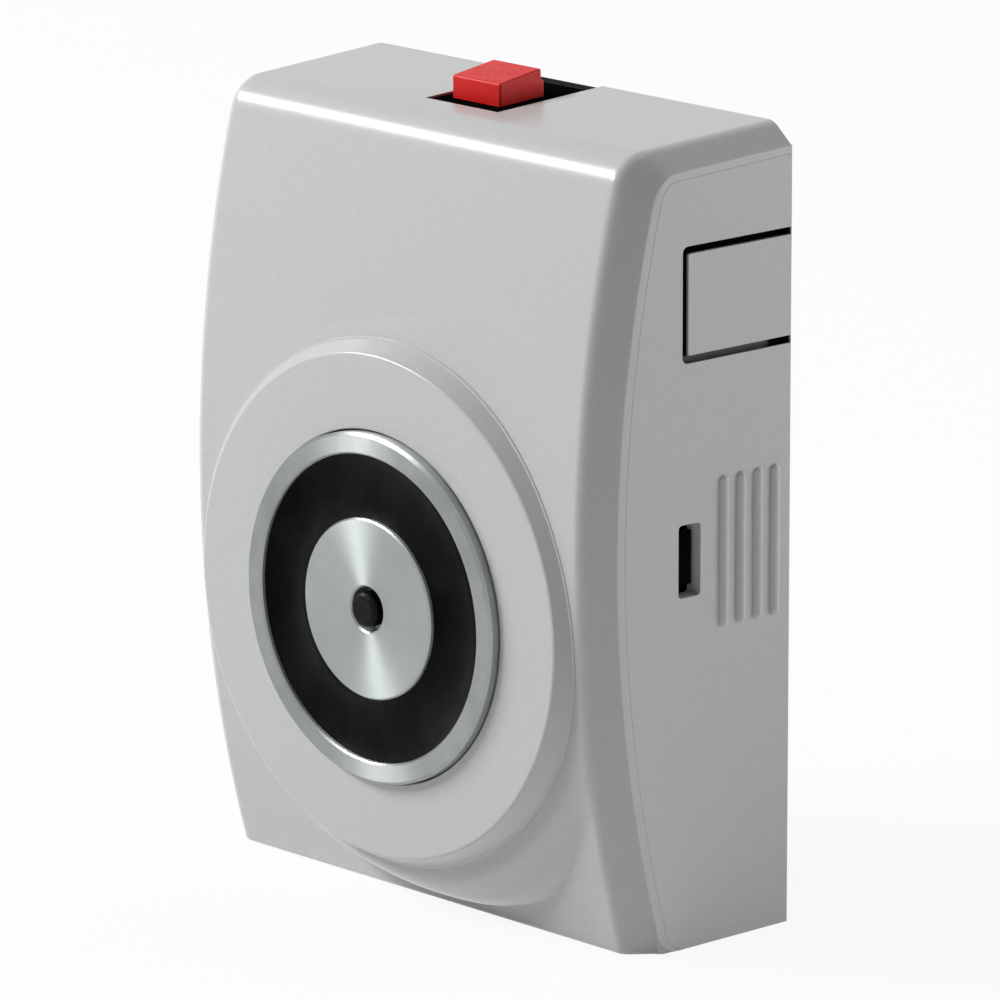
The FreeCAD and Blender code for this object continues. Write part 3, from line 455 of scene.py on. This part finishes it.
# The boss is a round step on a flared skirt, which runs out softly into the arched front.
# The skirt is squarer at its foot, and smaller on the left than on the right.
BOSS_FACE = 35.9
BOSS_FOOT = 37.4
BOSS_FOOT_DEPTH = 34.5
BOSS_ROUND = 0.6
SKIRT_RIM = 37.75
SKIRT_DEPTH = 27.4
SKIRT_RADIUS = 46.6
SKIRT_LEFT = 42.0
SKIRT_TURN = (-8.0, 13.0)
SKIRT_BOTTOM = 43.0
SKIRT_SQUARENESS = 24
SKIRT_BLEND = 1.0


def skirt_rise(x, z):
    """How far the skirt stands out of the arched front."""
    radius = math.hypot(x, z)
    power = SKIRT_SQUARENESS
    flat = max(-z, 0.0) / radius / SKIRT_BOTTOM
    turn = min(max((x - SKIRT_TURN[0]) / (SKIRT_TURN[1] - SKIRT_TURN[0]), 0.0), 1.0)
    wide = SKIRT_LEFT + (SKIRT_RADIUS - SKIRT_LEFT) * turn ** 2 * (3 - 2 * turn)
    foot = (wide ** -power + flat ** power) ** (-1 / power)
    share = min(max((radius - SKIRT_RIM) / (foot - SKIRT_RIM), 0.0), 1.0)
    depth = SKIRT_DEPTH + (BOSS_FOOT_DEPTH - SKIRT_DEPTH) * math.sqrt(1 - share ** 2)
    gain = depth - arch(z)
    if gain <= -SKIRT_BLEND:
        return 0.0
    if gain >= SKIRT_BLEND:
        return gain
    return (gain + SKIRT_BLEND) ** 2 / (4 * SKIRT_BLEND)


def front_depth(x, z):
    """Depth of the front with its skirt and side bevels."""
    rise = skirt_rise(x, z)
    return arch(z, bevel_drop(x, side(arch(z, BEVEL)), rise))


SIDE_STEPS = 130
BEVEL_STEPS = 14
BEVEL_MARGIN = 2.0
WIDTH_STEPS = 70
RADIAL_STEPS = 54
FOOT_STEPS = 5


def across(edge):
    """Places across the front from left to right, close together on the bevels."""
    inner = edge - BEVEL - BEVEL_MARGIN
    right = [inner + (edge - inner) * i / BEVEL_STEPS for i in range(1, BEVEL_STEPS + 1)]
    middle = [-inner + 2 * inner * i / WIDTH_STEPS for i in range(WIDTH_STEPS + 1)]
    return [-x for x in reversed(right)] + middle + right


cover_mesh = bmesh.new()


def vertex(x, depth, z):
    return cover_mesh.verts.new((x * MM, -depth * MM, z * MM))


def bridge(first, second, closed=False):
    """Strip of quads between two rows of vertices."""
    count = len(first)
    for i in range(count if closed else count - 1):
        j = (i + 1) % count
        cover_mesh.faces.new((first[i], first[j], second[j], second[i]))


low_z = BOTTOM + FOOT_ROUND
heights = [low_z + (SPLIT - low_z) * i / SIDE_STEPS for i in range(SIDE_STEPS + 1)]
low_edge = side(arch(low_z, BEVEL))
split_edge = side(arch(SPLIT, BEVEL))
frame_line = [(side(arch(z, BEVEL)), z) for z in heights]
frame_line += [(x, SPLIT) for x in reversed(across(split_edge)[1:-1])]
frame_line += [(-side(arch(z, BEVEL)), z) for z in reversed(heights)]
frame_line += [(x, low_z) for x in across(low_edge)[1:-1]]
rim_line = [Vector(p).normalized() * SKIRT_RIM for p in frame_line]
front_rows = []
for step in range(RADIAL_STEPS + 1):
    share = step / RADIAL_STEPS
    points = [r.lerp(Vector(p), share) for r, p in zip(rim_line, frame_line)]
    front_rows.append([vertex(x, front_depth(x, z), z) for x, z in points])
for inner_row, outer_row in zip(front_rows, front_rows[1:]):
    bridge(inner_row, outer_row, closed=True)

# boss: rounded lip, sloped edge, round and flat face, as radii and shares of the boss's height
BOSS_LIP = [(SKIRT_RIM - 0.03, 0.04), (SKIRT_RIM - 0.1, 0.075), (SKIRT_RIM - 0.2, 0.09), (BOSS_FOOT, 0.10)]
BOSS_ROUND_STEPS = 6
BOSS_FACE_RADII = (34.5, 31.0, 28.0)
slope = math.atan2(BOSS_DEPTH - BOSS_FOOT_DEPTH, BOSS_FOOT - BOSS_FACE)
tangent_length = BOSS_ROUND * math.tan(slope / 2)
boss_rings = list(BOSS_LIP)
round_mid = (BOSS_FACE - tangent_length, BOSS_DEPTH - BOSS_ROUND)
for i in range(BOSS_ROUND_STEPS + 1):
    angle = math.pi / 2 - slope * (1 - i / BOSS_ROUND_STEPS)
    radius = round_mid[0] + BOSS_ROUND * math.cos(angle)
    height = round_mid[1] + BOSS_ROUND * math.sin(angle)
    boss_rings.append((radius, (height - BOSS_FOOT_DEPTH) / (BOSS_DEPTH - BOSS_FOOT_DEPTH)))
boss_rings += [(radius, 1.0) for radius in BOSS_FACE_RADII]
previous = front_rows[0]
for radius, share in boss_rings:
    ring = []
    for rim in rim_line:
        x, z = rim * (radius / SKIRT_RIM)
        foot = front_depth(*(rim * (BOSS_FOOT / SKIRT_RIM)))
        ring.append(vertex(x, foot + (BOSS_DEPTH - foot) * share, z))
    bridge(ring, previous, closed=True)
    previous = ring
cover_mesh.faces.new(previous)

# round over the top to the wall
right_count = len(heights)
top_first = front_rows[-1][right_count - 1:right_count + len(across(split_edge)) - 1]
top_row = list(reversed(top_first))
top_sides = []
for row in range(1, LAST_ROW + 1):
    edge = side(shell_line(row, BEVEL, PANEL_CORNER)[0])
    new_row = []
    for x in across(split_edge):
        x *= edge / split_edge
        drop = bevel_drop(x, edge)
        depth, z = shell_line(row, drop, corner_round(drop))
        new_row.append(vertex(x, depth, z))
    bridge(top_row, new_row)
    top_row = new_row
    top_sides.append((new_row[0], new_row[-1]))

# round under the front and the flat underside
bottom_start = 2 * right_count + len(across(split_edge)) - 3
outer = front_rows[-1]
foot_row = outer[bottom_start:] + outer[:1]
foot_points = [Vector((v.co.x, -v.co.y)) / MM for v in foot_row]
foot_sides = []
for step in range(1, FOOT_STEPS + 1):
    angle = math.pi / 2 * step / FOOT_STEPS
    new_row = []
    for i, point in enumerate(foot_points):
        before, after = foot_points[max(i - 1, 0)], foot_points[min(i + 1, len(foot_points) - 1)]
        along = (after - before).normalized()
        outward = Vector((-along.y, along.x))
        if i in (0, len(foot_points) - 1):
            outward = Vector((0, 1))
        place = point - outward * FOOT_ROUND * (1 - math.cos(angle))
        x = math.copysign(side(place.y), place.x) if i in (0, len(foot_points) - 1) else place.x
        new_row.append(vertex(x, place.y, low_z - FOOT_ROUND * math.sin(angle)))
    bridge(foot_row, new_row)
    foot_row = new_row
    foot_sides.append((new_row[0], new_row[-1]))
back_row = [vertex(p.x * side(0) / low_edge, 0, BOTTOM) for p in foot_points]
bridge(foot_row, back_row)

# side panels: a rounded rim, a hairline and the raised face, as insets from the outline and lifts
PANEL_STEPS = [(3.86, 0.19), (3.96, 0.31), (4.03, 0.365), (4.15, 0.395),
               (5.40, 0.40), (5.46, 0.34), (5.52, 0.40), (5.7, 0.40)]
PANEL_FRONT_ROUND = 4.0
PANEL_FOOT_STEP = 0.015


def panel_line(number, sign):
    """Vertices of one line round a side panel, in the order of the cover's own side edge."""
    inset, lift = PANEL_STEPS[number]
    bottom = BOTTOM + PANEL_FOOT_STEP * (number + 1)
    mid_z = bottom + PANEL_FRONT_ROUND
    mid_depth = arch(mid_z, inset) - PANEL_FRONT_ROUND
    places = [(0.0, bottom)]
    for step in range(FOOT_STEPS, 0, -1):
        angle = math.pi / 2 * step / FOOT_STEPS
        depth = mid_depth + PANEL_FRONT_ROUND * math.cos(angle)
        places.append((depth, mid_z - PANEL_FRONT_ROUND * math.sin(angle)))
    for z in heights:
        z = mid_z + (z - low_z) * (SPLIT - mid_z) / (SPLIT - low_z)
        places.append((arch(z, inset), z))
    places += [shell_line(row, inset, PANEL_CORNER) for row in range(1, LAST_ROW + 1)]
    return [vertex(sign * (side(depth) + lift), depth, z) for depth, z in places]


back_loop = list(back_row)
side_lines = {}
for sign, pick in ((1, -1), (-1, 0)):
    rows = front_rows[-1]
    edge_line = [back_row[pick]] + [pair[pick] for pair in reversed(foot_sides)]
    if sign > 0:
        edge_line += rows[:right_count]
    else:
        left_start = len(rows) - bottom_start - 1
        edge_line += rows[::-1][left_start:left_start + right_count]
    edge_line += [pair[pick] for pair in top_sides]
    lines = [edge_line]
    for number in range(len(PANEL_STEPS)):
        lines.append(panel_line(number, sign))
        bridge(lines[-2], lines[-1])
    cover_mesh.faces.new(lines[-1])
    side_lines[sign] = lines
back_loop += [line[0] for line in side_lines[1][1:]]
back_loop += [line[-1] for line in reversed(side_lines[1])]
back_loop += list(reversed(top_row))[1:]
back_loop += [line[-1] for line in side_lines[-1][1:]]
back_loop += [line[0] for line in reversed(side_lines[-1][1:])]
cover_mesh.faces.new(back_loop)
bmesh.ops.recalc_face_normals(cover_mesh, faces=cover_mesh.faces)
cover = finished_object("cover_shell", cover_mesh)


# Hollow, mouth, notch, latch slots and knock-outs are cut from the cover, and the grip ribs are added.
# The score lines round the knock-outs don't go through the wall.
def straight_block(name, x0, x1, depth0, depth1, z0, z1):
    """Block between two places in width, depth and height."""
    work = bmesh.new()
    loops = []
    for z in (z0, z1):
        corners = [(x0, -depth0, z), (x1, -depth0, z), (x1, -depth1, z), (x0, -depth1, z)]
        loops.append([work.verts.new(Vector(corner) * MM) for corner in corners])
    closed_skin(work, loops)
    return finished_object(name, work)


LATHE_SEGMENTS = 192


def lathe(name, rings):
    """Closed solid turned about the magnet's axis from (radius, depth) pairs."""
    work = bmesh.new()
    angles = [2 * math.pi * i / LATHE_SEGMENTS for i in range(LATHE_SEGMENTS)]
    loops = []
    for radius, depth in rings:
        points = [Vector((radius * math.cos(a), -depth, radius * math.sin(a))) for a in angles]
        loops.append([work.verts.new(point * MM) for point in points])
    closed_skin(work, loops)
    return finished_object(name, work)


def combine(piece, tool, operation):
    """Apply a boolean with a tool that isn't needed afterwards."""
    modifier = piece.modifiers.new("work", "BOOLEAN")
    modifier.operation = operation
    modifier.solver = "MANIFOLD"
    modifier.object = tool
    depsgraph = bpy.context.evaluated_depsgraph_get()
    mesh = bpy.data.meshes.new_from_object(piece.evaluated_get(depsgraph))
    piece.modifiers.clear()
    old = piece.data
    piece.data = mesh
    bpy.data.meshes.remove(old)
    bpy.data.objects.remove(tool)


WALL = 2.2
INNER_BEVEL = 2.2
INNER_MIDDLE = 20.0
INNER_ROW_STEP = 4
CUT_PAST = 1.0
inside = bmesh.new()
inner_lines = []
for inset, pull in ((WALL, WALL + INNER_BEVEL), (WALL + INNER_BEVEL, WALL)):
    bottom = BOTTOM + WALL
    places = [(-CUT_PAST, bottom), (arch(bottom, inset), bottom), (arch(INNER_MIDDLE, inset), INNER_MIDDLE)]
    places += [outline(row, inset, TOP_ROUND) for row in range(0, LAST_ROW, INNER_ROW_STEP)]
    places.append((-CUT_PAST, TOP - inset))
    for sign in (1, -1):
        points = [Vector((sign * (side(depth) - pull), -depth, z)) for depth, z in places]
        inner_lines.append([inside.verts.new(point * MM) for point in points])
closed_skin(inside, [inner_lines[3], inner_lines[1], inner_lines[0], inner_lines[2]])
combine(cover, finished_object("hollow", inside), "DIFFERENCE")

MOUTH = 25.2
MOUTH_START = 12.0
MOUTH_EDGE = 0.15
BOSS_HOLLOW = BOSS_FACE - WALL
BOSS_HOLLOW_START = 18.0
boss_hollow = [(BOSS_HOLLOW, BOSS_HOLLOW_START), (BOSS_HOLLOW, BOSS_DEPTH - WALL)]
combine(cover, lathe("boss_hollow", boss_hollow), "DIFFERENCE")
mouth = [(MOUTH, MOUTH_START), (MOUTH, BOSS_DEPTH - MOUTH_EDGE),
         (MOUTH + 3 * MOUTH_EDGE, BOSS_DEPTH + 2 * MOUTH_EDGE)]
combine(cover, lathe("mouth", mouth), "DIFFERENCE")
SWITCH_X = -0.9
NOTCH_HALF = 7.3
NOTCH_DEPTH = 20.2
notch = straight_block("notch", SWITCH_X - NOTCH_HALF, SWITCH_X + NOTCH_HALF, -CUT_PAST, NOTCH_DEPTH,
                       TOP - 3 * WALL, TOP + CUT_PAST)
combine(cover, notch, "DIFFERENCE")
SLOT = (16.8, 20.9, 6.1, 16.4)
SLOT_CORNER = 0.6
KNOCKOUT_DEPTH = 20.3
KNOCKOUT_FOOT = 38.9
KNOCKOUT_HEAD = 55.2
GROOVE = 1.1
SLIT = 0.55
SCORE_DEPTH = 2.3
SCORE_START = 0.05
SCORE_CORNER = 0.9
DOOR_CORNER = 0.3
QUARTER_STEPS = 4
PANEL_LIFT = PANEL_STEPS[-1][1]


def leaning_prism(name, sign, deep, face, foot):
    """Solid through a side panel between an outline on its face and one at a depth under it."""
    work = bmesh.new()
    loops = []
    for lift in (-deep, 0.0, CUT_PAST):
        share = 1 + lift / deep
        loop = []
        for face_point, foot_point in zip(face, foot):
            depth, z = Vector(foot_point).lerp(Vector(face_point), share)
            loop.append(work.verts.new(Vector((sign * (side(depth) + PANEL_LIFT + lift), -depth, z)) * MM))
        loops.append(loop)
    closed_skin(work, loops)
    return finished_object(name, work)


def quarter_round(mid_depth, mid_z, radius, start):
    """Points along a quarter of a circle from a start angle in degrees."""
    angles = [math.radians(start + 90 * step / QUARTER_STEPS) for step in range(QUARTER_STEPS + 1)]
    return [(mid_depth + radius * math.cos(a), mid_z + radius * math.sin(a)) for a in angles]


def rounded_corners(depth0, depth1, z0, z1, radius):
    """Points round a rectangle with rounded corners."""
    points = []
    for mid_depth, mid_z, start in ((depth1 - radius, z1 - radius, 0), (depth0 + radius, z1 - radius, 90),
                                    (depth0 + radius, z0 + radius, 180), (depth1 - radius, z0 + radius, 270)):
        points += quarter_round(mid_depth, mid_z, radius, start)
    return points


def score_path(inset, radius):
    """Points along a score line, at an inset from its outer side: round the knock-out, from wall to wall."""
    points = [(SCORE_START, KNOCKOUT_FOOT + inset)]
    mid_depth = KNOCKOUT_DEPTH - inset - radius
    for mid_z, start in ((KNOCKOUT_FOOT + inset + radius, -90), (KNOCKOUT_HEAD - inset - radius, 0)):
        points += quarter_round(mid_depth, mid_z, radius, start)
    points.append((SCORE_START, KNOCKOUT_HEAD - inset))
    return points


slot_line = rounded_corners(*SLOT, SLOT_CORNER)
score_outside = score_path(0.0, SCORE_CORNER)
score_face = score_outside + score_path(GROOVE, DOOR_CORNER)[::-1]
score_foot = score_outside + score_path(SLIT, DOOR_CORNER)[::-1]
for sign in (1, -1):
    combine(cover, leaning_prism("slot", sign, 2 * WALL, slot_line, slot_line), "DIFFERENCE")
    combine(cover, leaning_prism("score", sign, SCORE_DEPTH, score_face, score_foot), "DIFFERENCE")

RIB_COUNT = 4
RIB_FIRST = 2.9
RIB_PITCH = 3.2
RIB_RADIUS = 0.85
RIB_RISE = 0.75
RIB_FOOT = 0.8
RIB_HEAD = 22.3
RIB_SEGMENTS = 28
RIB_LEVEL = 1e-9
for sign in (1, -1):
    for number in range(RIB_COUNT):
        depth = RIB_FIRST + number * RIB_PITCH
        work = bmesh.new()
        bmesh.ops.create_uvsphere(work, u_segments=RIB_SEGMENTS, v_segments=RIB_SEGMENTS // 2,
                                  radius=RIB_RADIUS * MM)
        reach = (RIB_HEAD - RIB_FOOT) / 2 - RIB_RADIUS
        for v in work.verts:
            if abs(v.co.z) > RIB_LEVEL:
                v.co.z += math.copysign(reach * MM, v.co.z)
        across_place = sign * (side(depth) + PANEL_LIFT + RIB_RISE - RIB_RADIUS)
        middle = Vector((across_place, -depth, (RIB_HEAD + RIB_FOOT) / 2))
        bmesh.ops.translate(work, verts=work.verts, vec=middle * MM)
        combine(cover, finished_object("rib", work), "UNION")

COVER_SHARP = math.radians(16)
shade_smooth(cover)
cover.data.set_sharp_from_angle(angle=COVER_SHARP)
weighted = cover.modifiers.new("weighted_normals", "WEIGHTED_NORMAL")
weighted.keep_sharp = True
weighted.weight = 60
cover_grey = moulded_plastic("cover_grey", (0.548, 0.551, 0.548, 1), (0.576, 0.579, 0.576, 1), (0.22, 0.27),
                             2600.0, 0.0000012, slow=1400.0)

# the score lines' walls are painted near black below the face: painted shade for the deep, unlit gap
PAINTED_SHADE_START = 0.3
PAINTED_SHADE_MARGIN = 0.01
PAINTED_SHADE_RANGE = (0.04, 0.18)
score_shade_mask = cover.data.attributes.new("score_painted_shade", "FLOAT", "POINT")
for v in cover.data.vertices:
    x, depth, z = abs(v.co.x) / MM, -v.co.y / MM, v.co.z / MM
    in_depth = SCORE_START - PAINTED_SHADE_MARGIN < depth < KNOCKOUT_DEPTH + PAINTED_SHADE_MARGIN
    in_height = KNOCKOUT_FOOT - PAINTED_SHADE_MARGIN < z < KNOCKOUT_HEAD + PAINTED_SHADE_MARGIN
    below = x < side(depth) + PANEL_LIFT - PAINTED_SHADE_START
    score_shade_mask.data[v.index].value = float(in_depth and in_height and below)
cover_tree = cover_grey.node_tree
cover_shader = cover_tree.nodes["Principled BSDF"]
score_shade_attribute = cover_tree.nodes.new("ShaderNodeAttribute")
score_shade_attribute.attribute_name = "score_painted_shade"
score_shade_share = cover_tree.nodes.new("ShaderNodeMapRange")
score_shade_share.inputs["From Min"].default_value = PAINTED_SHADE_RANGE[0]
score_shade_share.inputs["From Max"].default_value = PAINTED_SHADE_RANGE[1]
cover_tree.links.new(score_shade_attribute.outputs["Fac"], score_shade_share.inputs["Value"])
# painted shade: the cover's colour is mixed to near black where the score-line mask is set
score_shade_mix = cover_tree.nodes.new("ShaderNodeMixRGB")
score_shade_mix.inputs["Color2"].default_value = grey(0.004)
cover_tree.links.new(score_shade_share.outputs["Result"], score_shade_mix.inputs["Fac"])
cover_tree.links.new(cover_shader.inputs["Base Color"].links[0].from_socket, score_shade_mix.inputs["Color1"])
cover_tree.links.new(score_shade_mix.outputs["Color"], cover_shader.inputs["Base Color"])
cover.data.materials.clear()
cover.data.materials.append(cover_grey)
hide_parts("cover")
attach(cover, "housing")


# Studio: a white floor and background, a long softbox high on the left, a weaker one behind on the right,
# a small lamp above and the camera at the photograph's angle. The floor keeps a faint shadow.
def white_to_camera(tree, shade, white_node, keep):
    """Mix a share of plain white into what the camera, mirrors and glass see of a stage surface."""
    path = tree.nodes.new("ShaderNodeLightPath")
    seen = tree.nodes.new("ShaderNodeMath")
    seen.operation = "MAXIMUM"
    tree.links.new(path.outputs["Is Camera Ray"], seen.inputs[0])
    tree.links.new(path.outputs["Is Transmission Ray"], seen.inputs[1])
    also = tree.nodes.new("ShaderNodeMath")
    also.operation = "MAXIMUM"
    tree.links.new(seen.outputs["Value"], also.inputs[0])
    tree.links.new(path.outputs["Is Glossy Ray"], also.inputs[1])
    share = tree.nodes.new("ShaderNodeMath")
    share.operation = "MULTIPLY"
    share.inputs[1].default_value = 1 - keep
    tree.links.new(also.outputs["Value"], share.inputs[0])
    white = tree.nodes.new(white_node)
    white.inputs["Strength"].default_value = 1.0
    mix = tree.nodes.new("ShaderNodeMixShader")
    tree.links.new(share.outputs["Value"], mix.inputs["Fac"])
    tree.links.new(shade, mix.inputs[1])
    tree.links.new(white.outputs[0], mix.inputs[2])
    return mix.outputs["Shader"]


FLOOR_SHADOW = 0.09
FLOOR_GAP = 0.05
FLOOR_SIZE = 12.0
floor_material, floor_tree, floor_shader = new_material("studio_floor")
floor_shader.inputs["Base Color"].default_value = grey(0.85)
floor_shader.inputs["Roughness"].default_value = 0.9
floor_out = floor_tree.nodes["Material Output"]
floor_look = white_to_camera(floor_tree, floor_shader.outputs["BSDF"], "ShaderNodeEmission", FLOOR_SHADOW)
floor_tree.links.new(floor_look, floor_out.inputs["Surface"])
bpy.ops.mesh.primitive_plane_add(size=FLOOR_SIZE, location=(0, 0, cover_low.z - FLOOR_GAP * MM))
floor = bpy.context.object
floor.name = "studio_floor"
floor.data.materials.append(floor_material)

AMBIENT = 0.03
SKY_GAIN = 0.51
SKY_BRIGHT = (-0.55, 0.45, 0.70)
SKY_COLOUR = (0.95, 0.98, 1.0, 1.0)
world = bpy.data.worlds.new("studio")
bpy.context.scene.world = world
world.use_nodes = True
world_tree = world.node_tree
ambient = world_tree.nodes["Background"]
ambient.inputs["Color"].default_value = SKY_COLOUR
sky_place = world_tree.nodes.new("ShaderNodeTexCoord")
sky_side = world_tree.nodes.new("ShaderNodeVectorMath")
sky_side.operation = "DOT_PRODUCT"
sky_side.inputs[1].default_value = SKY_BRIGHT
world_tree.links.new(sky_place.outputs["Generated"], sky_side.inputs[0])
sky_level = world_tree.nodes.new("ShaderNodeMapRange")
sky_level.inputs["To Min"].default_value = AMBIENT
sky_level.inputs["To Max"].default_value = AMBIENT + SKY_GAIN
world_tree.links.new(sky_side.outputs["Value"], sky_level.inputs["Value"])
world_tree.links.new(sky_level.outputs["Result"], ambient.inputs["Strength"])
world_out = world_tree.nodes["World Output"]
world_look = white_to_camera(world_tree, ambient.outputs["Background"], "ShaderNodeBackground", 0.0)
world_tree.links.new(world_look, world_out.inputs["Surface"])


def softbox(name, towards, distance, width, height, power):
    """Soft light in a direction from the part, facing it."""
    data = bpy.data.lights.new(name, "AREA")
    data.shape = "RECTANGLE"
    data.size = width
    data.size_y = height
    data.energy = power
    lamp = bpy.data.objects.new(name, data)
    direction = Vector(towards).normalized()
    lamp.location = direction * distance
    lamp.rotation_euler = direction.to_track_quat("Z", "Y").to_euler()
    bpy.context.scene.collection.objects.link(lamp)


KEY_POWER = 24.2
FILL_POWER = 4.1
SPARK_POWER = 0.5
softbox("key_left", (-0.695, -0.538, 0.61), 1.6, 0.9, 0.14, KEY_POWER)
softbox("fill_right", (0.62, 0.78, 0.10), 0.9, 0.5, 0.5, FILL_POWER)
softbox("spark_top", (0.13, 0.30, 0.95), 1.4, 0.1, 0.1, SPARK_POWER)

AZIMUTH = math.radians(45.9)
ELEVATION = math.radians(14.55)
DISTANCE = 1.107
level = math.cos(ELEVATION)
away = Vector((math.sin(AZIMUTH) * level, -math.cos(AZIMUTH) * level, math.sin(ELEVATION)))
camera_data = bpy.data.cameras.new("camera")
camera_data.sensor_width = 36.0
camera_data.lens = 279.8
camera_data.shift_x = -0.0706
camera_data.shift_y = 0.0597
camera = bpy.data.objects.new("camera", camera_data)
camera.location = away * DISTANCE
camera.rotation_euler = away.to_track_quat("Z", "Y").to_euler()
bpy.context.scene.collection.objects.link(camera)
bpy.context.scene.camera = camera
bpy.context.scene.view_settings.view_transform = "Standard"
